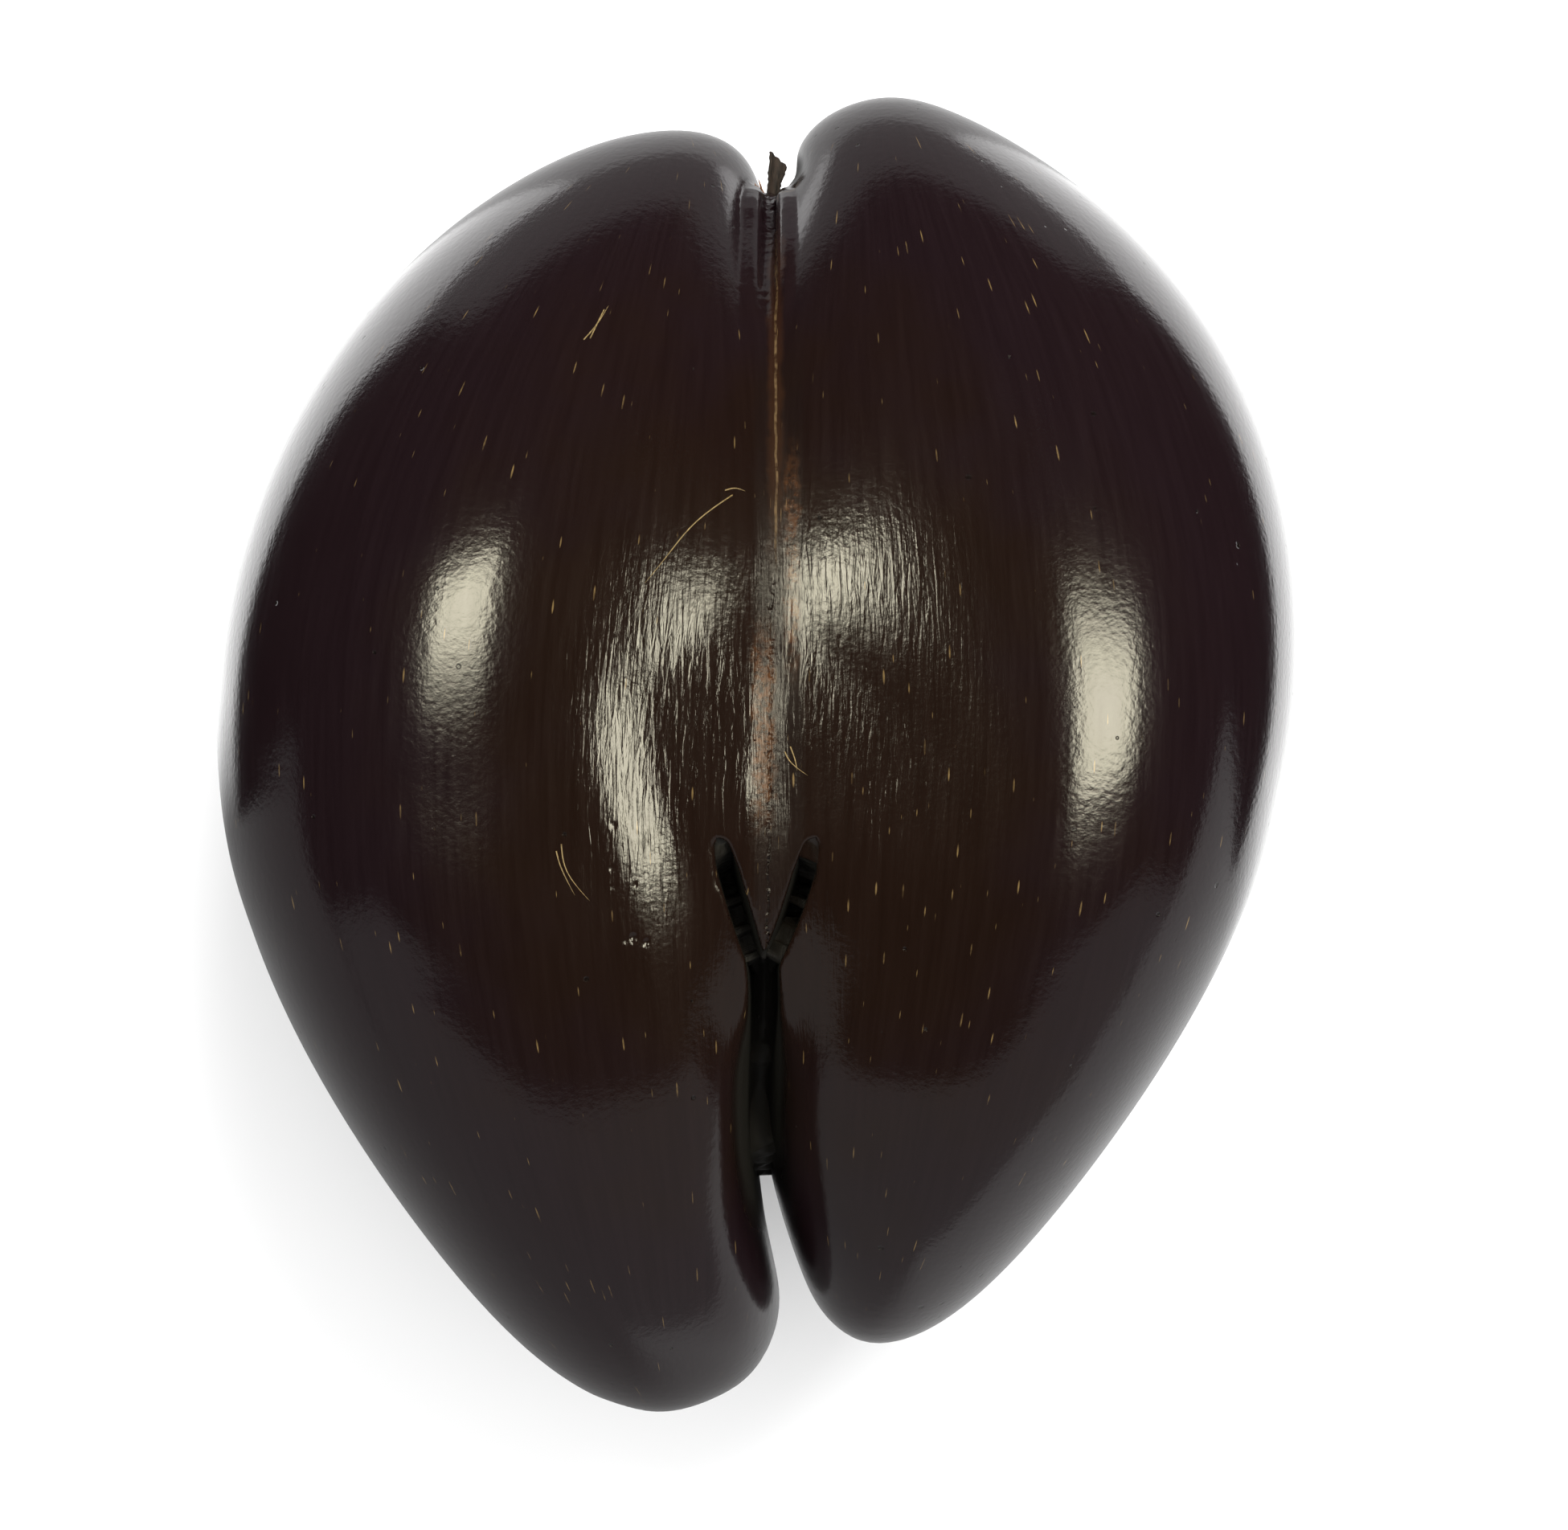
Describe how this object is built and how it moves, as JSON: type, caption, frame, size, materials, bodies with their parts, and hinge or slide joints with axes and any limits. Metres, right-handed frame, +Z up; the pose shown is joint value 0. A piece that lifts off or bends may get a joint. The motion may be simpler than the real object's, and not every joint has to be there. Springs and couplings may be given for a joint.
{
  "type": "coco de mer seed",
  "caption": "Large two-lobed palm nut, polished dark brown, with a notch on top, a seam down the front, a V of slits and a gap between the lower lobes.",
  "frame": {"origin": "centre of the bounding box in plan, at the plane that the seed lies on", "axes": "+Z up, out of the front face; +Y towards the notch between the lobe tops; +X to the right as the front face is looked at"},
  "size_m": [0.2458, 0.3, 0.1671],
  "materials": {
    "shell": "polished"
  },
  "bodies": {
    "root": {"nut": "shell"}
  },
  "joints": []
}
